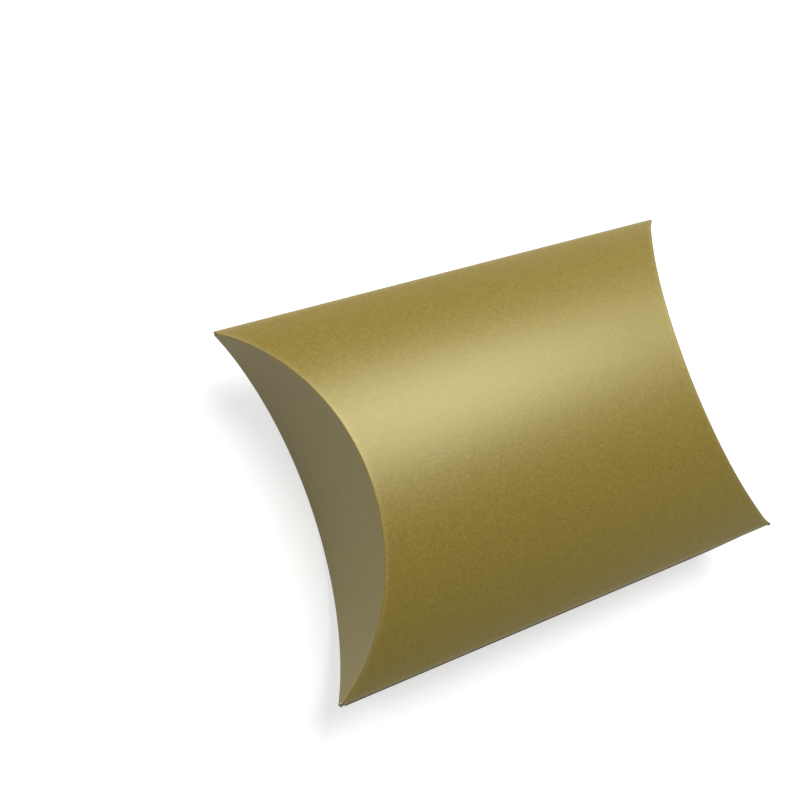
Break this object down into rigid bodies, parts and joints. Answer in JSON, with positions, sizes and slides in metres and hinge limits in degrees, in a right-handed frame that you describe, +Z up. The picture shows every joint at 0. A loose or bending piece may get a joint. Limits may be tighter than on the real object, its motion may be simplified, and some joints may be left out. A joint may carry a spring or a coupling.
{
  "type": "pillow box",
  "caption": "Bowed card gift box with curved, overlapping tuck-in end flaps, a glued side seam and a thumb notch in one flap of each end.",
  "frame": {"origin": "under the middle of the box, on the surface that the back panel's belly rests on", "axes": "+X along the straight side folds, towards the end whose outer flap has the thumb notch; +Z up, from the back panel to the front panel; the glued seam lies along the fold on the -Y side"},
  "size_m": [0.0876, 0.0624, 0.0244],
  "materials": {
    "gold_card": "satin gold outside, white inside",
    "plain_card": "uncoated white",
    "glue": "dried clear glue"
  },
  "bodies": {
    "sleeve": {"front_panel": "gold_card", "back_panel": "gold_card", "glue_flap": "plain_card", "glue_line": "glue"},
    "left_outer": {"left_outer_flap": "gold_card"},
    "left_inner": {"left_inner_flap": "gold_card"},
    "right_outer": {"right_outer_flap": "gold_card"},
    "right_inner": {"right_inner_flap": "gold_card"}
  },
  "joints": [
    {"name": "left_outer_score", "type": "hinge", "parent": "sleeve", "child": "left_outer", "pos_m": [-0.031, 0, 0.0244], "axis": [0, 1, 0], "range_deg": [0, 100]},
    {"name": "left_inner_score", "type": "hinge", "parent": "sleeve", "child": "left_inner", "pos_m": [-0.02985, 0, 0.00055], "axis": [0, 1, 0], "range_deg": [0, 8]},
    {"name": "right_outer_score", "type": "hinge", "parent": "sleeve", "child": "right_outer", "pos_m": [0.031, 0, 0.0244], "axis": [0, -1, 0], "range_deg": [0, 100]},
    {"name": "right_inner_score", "type": "hinge", "parent": "sleeve", "child": "right_inner", "pos_m": [0.02985, 0, 0.00055], "axis": [0, -1, 0], "range_deg": [0, 8]}
  ]
}
